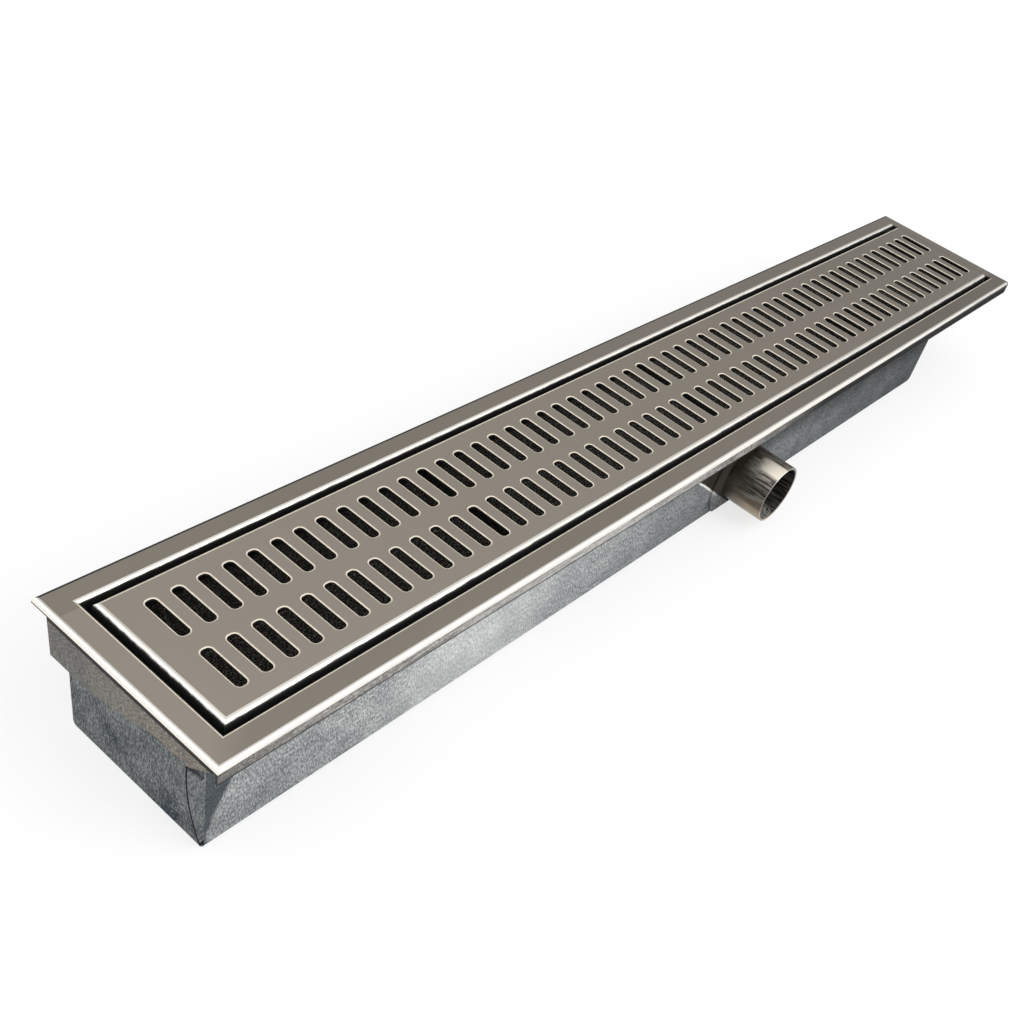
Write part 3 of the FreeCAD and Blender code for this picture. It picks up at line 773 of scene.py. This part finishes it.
def inner_grime_and_shade(s, zinc):
    """Speckled grime inside the trough and its tray, its darkness partly painted shade, with more painted
    shade up under the cover.
    """
    inside_y = s.below(s.absolute(s.y), trough_high.y - TROUGH_HALF_SHEET)
    inside_x = s.above(s.x, trough_low.x + 3.0 * MM)
    deep = s.times(s.below(s.x, DEEP_END), s.above(s.z, TROUGH_HALF_SHEET))
    tray = s.times(s.below(s.x, trough_high.x - TROUGH_HALF_SHEET), s.above(s.z, TRAY_FLOOR))
    inside = s.times(inside_y, inside_x, s.larger(deep, tray))
    speck = s.noise((900, 900, 900), 2.0, 0.6)
    grime = s.mix(s.ramp(speck, 0.45, 0.7), srgb(66, 64, 60), srgb(166, 162, 154))
    # Painted shade up under the cover
    high = s.times(s.ramp(s.z, 40 * MM, 70 * MM, 0.0, 0.8), s.below(s.z, top - SHEET - 0.2 * MM))
    grime = s.mix(high, grime, srgb(24, 23, 22))
    return s.mix(inside, zinc, grime)


def galvanised():
    """Dull zinc, mottled and pitted, with painted light and shade by place, a dark patch before the outlet,
    and dark with speckled grime and painted shade inside the trough.
    """
    s = ZincShader(bpy.data.materials.new("galvanised"))
    colour = mottled_zinc(s)
    for layer in (wall_painted_light, near_bend, outlet_dark_patch, near_end_painted_shade, inner_grime_and_shade):
        colour = layer(s, colour)
    rough = s.ramp(s.grit, 0.3, 0.7, 0.45, 0.62)
    # Less metallic towards the far end, so that its painted shade stays dark
    metal = s.ramp(s.ragged_x, -60 * MM, 120 * MM, 0.55, 0.0)
    relief = s.plus(s.times(s.middle, 2.0), s.grit)
    return s.finish(Base_Color=colour, Metallic=metal, Roughness=rough, Specular_IOR_Level=0.0,
                    Normal=s.bump(relief, 0.2 * MM))


# The skirt and the pipe

def tan_skirt():
    """The stepped plate at the near end: tan-grey with fine grain, and black painted shade up under the rim.
    """
    s = Shader(bpy.data.materials.new("tan_skirt"))
    where = s.place()
    grain = s.noise((1000, 520, 1500), 4.0, 0.65)
    patch = s.noise((60, 60, 60), 4.0, 0.6)
    across = s.ramp(s.axis(where, "Y"), -40 * MM, 40 * MM)
    colour = s.mix(across, srgb(140, 131, 119), srgb(118, 117, 112))
    colour = s.mix(s.ramp(patch, 0.45, 0.65, 0.0, 0.45), colour, srgb(84, 82, 78))
    colour = s.mix(s.ramp(grain, 0.46, 0.58, 0.0, 0.75), colour, srgb(44, 41, 38))
    colour = s.mix(s.ramp(grain, 0.42, 0.34, 0.0, 0.6), colour, srgb(196, 190, 178))
    # Painted shade, black, up under the rim
    painted_shade_under_rim = s.ramp(s.axis(where, "Z"), 63.9 * MM, 64.5 * MM)
    colour = s.mix(painted_shade_under_rim, colour, srgb(6, 6, 6))
    return s.finish(Base_Color=colour, Metallic=0.4, Roughness=0.5, Specular_IOR_Level=0.2,
                    Normal=s.bump(grain, 0.1 * MM))


class PipeShader(Shader):
    """A shader with the pipe's coordinates, side and rise in shares of its radius, and its noises."""

    def __init__(self, owner):
        super().__init__(owner)
        across = self.from_axis(pipe_axis_point, (1, 0, 1))
        self.along = self.axis(self.place(), "Y")
        self.side = self.math("DIVIDE", self.axis(across, "X"), pipe_outer_radius)
        self.rise = self.math("DIVIDE", self.axis(across, "Z"), pipe_outer_radius)
        self.radius = self.length(across)
        self.streak = self.noise((700, 60, 700), 5.0, 0.6)
        self.blotch = self.noise((70, 70, 70), 4.0)
        self.speck = self.noise((900, 500, 900), 3.0, 0.7)


def pipe_outside(s):
    """Specked on one side and banded on the other, brown below, with a painted highlight patch and a dark
    root.
    """
    plain = s.mix(s.ramp(s.speck, 0.4, 0.62), srgb(150, 144, 134), srgb(92, 86, 78))
    band = s.mix(s.ramp(s.streak, 0.42, 0.56), srgb(60, 54, 48), srgb(204, 198, 187))
    low = s.mix(s.ramp(s.streak, 0.35, 0.65), srgb(132, 117, 99), srgb(168, 152, 130))
    colour = s.mix(s.ramp(s.ragged(s.side, s.streak, 0.5), 0.2, 0.0), plain, band)
    colour = s.mix(s.ramp(s.ragged(s.rise, s.streak, 0.3), 0.12, -0.1), colour, low)
    left = s.times(s.ramp(s.side, -0.7, -0.86), s.ramp(s.rise, -0.34, -0.2), 0.7)
    colour = s.mix(left, colour, srgb(46, 41, 36))

    # Painted highlight patch towards the mouth
    mouth_half = s.ramp(s.ragged(s.along, s.streak, 20 * MM), -64 * MM, -67 * MM)
    highlight_side = s.times(s.ramp(s.side, -0.62, -0.5), s.ramp(s.side, 0.0, -0.1))
    patch = s.times(highlight_side, mouth_half, s.ramp(s.rise, 0.5, 0.6))
    colour = s.mix(patch, colour, srgb(252, 243, 228))

    root = s.ramp(s.plus(s.along, s.times(s.blotch, 14 * MM)), -64 * MM, -50 * MM)
    dark = s.mix(s.ramp(s.blotch, 0.35, 0.65), srgb(52, 47, 42), srgb(92, 84, 74))
    return s.mix(root, colour, dark)


def pipe_inside(s):
    """Dark with streaks, scraped bright low down at the mouth."""
    dark_bore = s.mix(s.ramp(s.streak, 0.45, 0.7), srgb(34, 34, 34), srgb(120, 118, 112))
    low = s.times(s.ramp(s.side, 0.45, 0.2), s.ramp(s.rise, -0.45, -0.7))
    at_mouth = s.ramp(s.along, -70 * MM, -75 * MM)
    scraped = s.times(low, at_mouth, s.ramp(s.speck, 0.45, 0.55))
    return s.mix(scraped, dark_bore, srgb(228, 225, 218))


def stained_steel():
    """The pipe: brown and dark at its root, scratched, with a painted highlight towards the mouth, dark
    inside.
    """
    s = PipeShader(bpy.data.materials.new("stained_steel"))
    in_bore = s.below(s.radius, pipe_outer_radius - 0.4 * PIPE_WALL)
    on_mouth = s.below(s.along, pipe_low.y + 0.15 * MM)
    hollow = s.times(in_bore, s.minus(1.0, on_mouth))
    colour = s.mix(hollow, pipe_outside(s), pipe_inside(s))
    return s.finish(Base_Color=colour, Metallic=0.7, Roughness=0.36, Normal=s.bump(s.streak, 0.04 * MM))


# The stage

def make_floor():
    """White in part to the camera and in mirrors, so that only a soft shadow shows on it."""
    s = Shader(bpy.data.materials.new("pale_floor"))
    ray = s.node("ShaderNodeLightPath", {})
    seen = s.larger(ray.outputs["Is Camera Ray"], ray.outputs["Is Glossy Ray"])
    seen = s.larger(seen, ray.outputs["Is Transmission Ray"])
    matt = s.node("ShaderNodeBsdfDiffuse", {"Color": (0.9, 0.9, 0.9, 1)})
    white = s.node("ShaderNodeEmission", {"Color": (1, 1, 1, 1), "Strength": 1.0})
    share = s.times(seen, FLOOR_WHITE)
    both = s.node("ShaderNodeMixShader", {0: share, 1: matt.outputs[0], 2: white.outputs[0]})
    s.node("ShaderNodeOutputMaterial", {"Surface": both.outputs[0]})
    mesh = bpy.data.meshes.new("floor")
    corners = [(x * FLOOR_HALF, y * FLOOR_HALF, 0) for x, y in ((-1, -1), (1, -1), (1, 1), (-1, 1))]
    mesh.from_pydata(corners, [], [(0, 1, 2, 3)])
    floor = new_piece("floor", mesh, [s.owner])
    floor.location.z = trough_low.z - FLOOR_DROP


def make_world():
    """White to the camera; for all other rays a soft dome, dim at the horizon, with two bright sides."""
    world = bpy.data.worlds.new("studio")
    bpy.context.scene.world = world
    s = Shader(world)
    ray = s.node("ShaderNodeLightPath", {})
    seen = s.larger(ray.outputs["Is Camera Ray"], ray.outputs["Is Transmission Ray"])
    direction = s.node("ShaderNodeTexCoord", {}).outputs["Generated"]
    horizon, overhead = 0.05, 0.9
    dome = s.ramp(s.axis(direction, "Z"), horizon, overhead, DOME_LOW, DOME_HIGH)
    side_edge, side_full = -0.02, -0.4
    sides = [s.ramp(s.axis(direction, name), side_edge, side_full, 0.0, SIDES) for name in "XY"]
    light = s.plus(dome, s.larger(*sides))
    strength = s.node("ShaderNodeMix", {0: seen, 2: light, 3: 1.0}).outputs[0]
    sky = s.node("ShaderNodeBackground", {"Color": (1, 1, 1, 1), "Strength": strength})
    s.node("ShaderNodeOutputWorld", {"Surface": sky.outputs[0]})


def make_lamp():
    data = bpy.data.lights.new("front", "AREA")
    data.shape = "RECTANGLE"
    data.size = LAMP_WIDTH
    data.size_y = LAMP_HEIGHT
    data.energy = LAMP_POWER
    lamp = bpy.data.objects.new("front", data)
    bpy.context.scene.collection.objects.link(lamp)
    lamp.location = LAMP_PLACE
    lamp.rotation_mode = "QUATERNION"
    lamp.rotation_quaternion = (Vector(LAMP_AIM) - Vector(LAMP_PLACE)).to_track_quat("-Z", "Y")


def make_camera():
    data = bpy.data.cameras.new("view")
    data.sensor_width = VIEW_SENSOR
    data.lens = VIEW_LENS
    data.shift_x = VIEW_SHIFT_X
    data.shift_y = VIEW_SHIFT_Y
    data.clip_start = VIEW_NEAREST
    data.clip_end = VIEW_FARTHEST
    camera = bpy.data.objects.new("view", data)
    bpy.context.scene.collection.objects.link(camera)
    place = Vector((frame_low.x, frame_low.y, top)) + VIEW_FROM_CORNER
    turn = Matrix((VIEW_RIGHT, VIEW_UP, VIEW_RIGHT.cross(VIEW_UP))).transposed().to_4x4()
    camera.matrix_world = Matrix.Translation(place) @ turn
    bpy.context.scene.camera = camera


def dress_node(name, material):
    """Give a CAD node its material."""
    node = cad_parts[name]
    node.data.materials.clear()
    node.data.materials.append(material)


sheet = [brushed_steel(), roll_highlight_steel(), roll_highlight_into_shade(), shaded_steel(), lip_steel(), deburred_highlight(),
         shaded_cut_edge()]
zinc = galvanised()
make_frame(sheet)
make_cover(sheet)
for plate in ("cover_ribs", "trough", "near_end_plate", "outlet_collar"):
    dress_node(plate, zinc)
dress_node("end_skirt", tan_skirt())
dress_node("outlet_pipe", stained_steel())

make_floor()
make_world()
make_lamp()
make_camera()
bpy.context.scene.view_settings.view_transform = "Standard"
